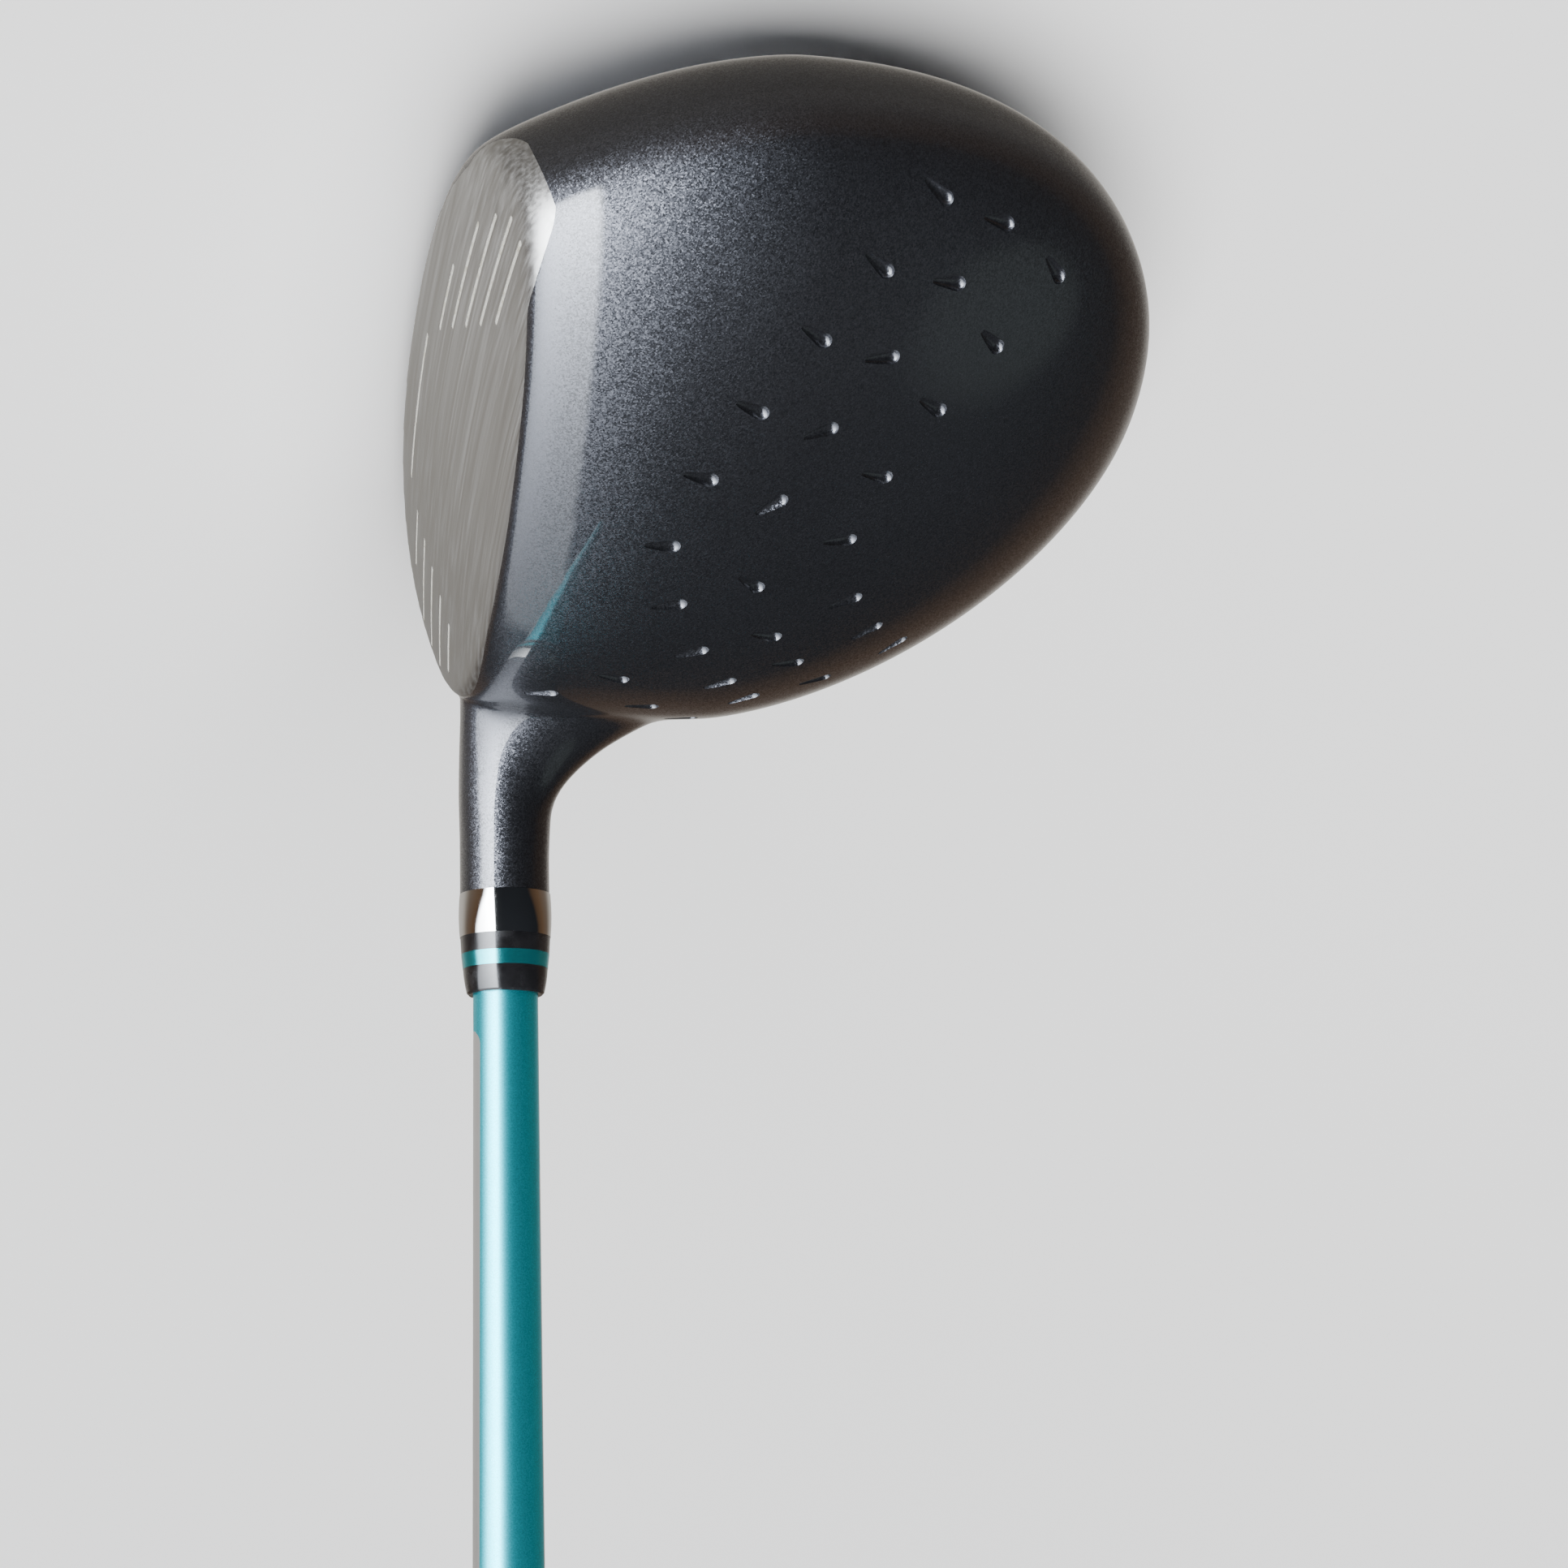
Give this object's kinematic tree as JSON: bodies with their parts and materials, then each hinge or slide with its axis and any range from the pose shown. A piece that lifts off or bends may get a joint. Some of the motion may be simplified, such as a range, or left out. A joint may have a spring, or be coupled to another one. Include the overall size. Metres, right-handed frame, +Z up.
{
  "type": "golf driver",
  "caption": "Right-handed golf driver: dimpled grey hollow head with bulged brushed face, adjustable adapter sleeve, two-tone ferrule, teal tapered shaft, ribbed rubber grip and rear weight.",
  "frame": {"origin": "middle of the flat spot on the sole that the club rests on at address", "axes": "+Z up, +X the target direction that the face looks in, +Y towards the heel and the player, -Y the toe"},
  "size_m": [0.1055, 0.695, 0.9859],
  "materials": {
    "head_paint": "dark grey metal-flake paint under gloss clear coat",
    "sole_paint": "dark grey metal-flake paint under gloss clear coat",
    "face_metal": "brushed heel to toe, light wear",
    "score_paint": "cream-white paint fill",
    "badge_metal": "satin, etched pattern",
    "inner_rubber": "soft matt",
    "collar_metal": "polished",
    "screw_steel": "bright plated",
    "inner_plastic": "natural nylon",
    "ferrule_black": "gloss black",
    "trim_teal": "teal metallic",
    "shaft_teal": "teal metallic lacquer over graphite",
    "tape": "paper backed double-sided tape",
    "grip_rubber": "matt, moulded pattern",
    "weight_metal": "turned and bead blasted"
  },
  "bodies": {
    "shaft_and_grip": {"adapter_sleeve": "collar_metal", "ferrule_base": "ferrule_black", "ferrule_trim_ring": "trim_teal", "ferrule_tip": "ferrule_black", "shaft": "shaft_teal", "tip_plug": "inner_plastic", "grip_tape": "tape", "grip": "grip_rubber", "grip_cap": "grip_rubber"},
    "head": {"upper_shell": "head_paint", "sole_shell": "sole_paint", "face_plate": "face_metal", "score_line_paint": "score_paint", "sole_badge": "badge_metal", "damping_pad": "inner_rubber", "screw_washer": "screw_steel"},
    "hosel_screw": {"sleeve_screw": "screw_steel", "screw_retainer": "inner_plastic"},
    "weight": {"rear_weight": "weight_metal"},
    "weight_bolt": {"weight_screw": "screw_steel"}
  },
  "joints": [
    {"name": "head_release", "type": "slide", "parent": "shaft_and_grip", "child": "head", "axis": [0, -0.515, -0.8572], "range_m": [0, 0.0064]},
    {"name": "sleeve_screw_turn", "type": "hinge", "parent": "head", "child": "hosel_screw", "pos_m": [0.0219, 0.03855, 0.00857], "axis": [0, -0.515, -0.8572], "range_deg": [0, 2880]},
    {"name": "weight_release", "type": "slide", "parent": "head", "child": "weight", "axis": [-0.3256, 0, -0.9455], "range_m": [0, 0.0049]},
    {"name": "weight_screw_turn", "type": "hinge", "parent": "weight", "child": "weight_bolt", "pos_m": [-0.042, -0.0045, 0.007], "axis": [-0.3256, 0, -0.9455], "range_deg": [0, 2520]}
  ],
  "couplings": [
    {"joint": "sleeve_screw_turn", "follows": "head_release", "rad_per_m": 7853.9},
    {"joint": "weight_screw_turn", "follows": "weight_release", "rad_per_m": 8975.9}
  ]
}
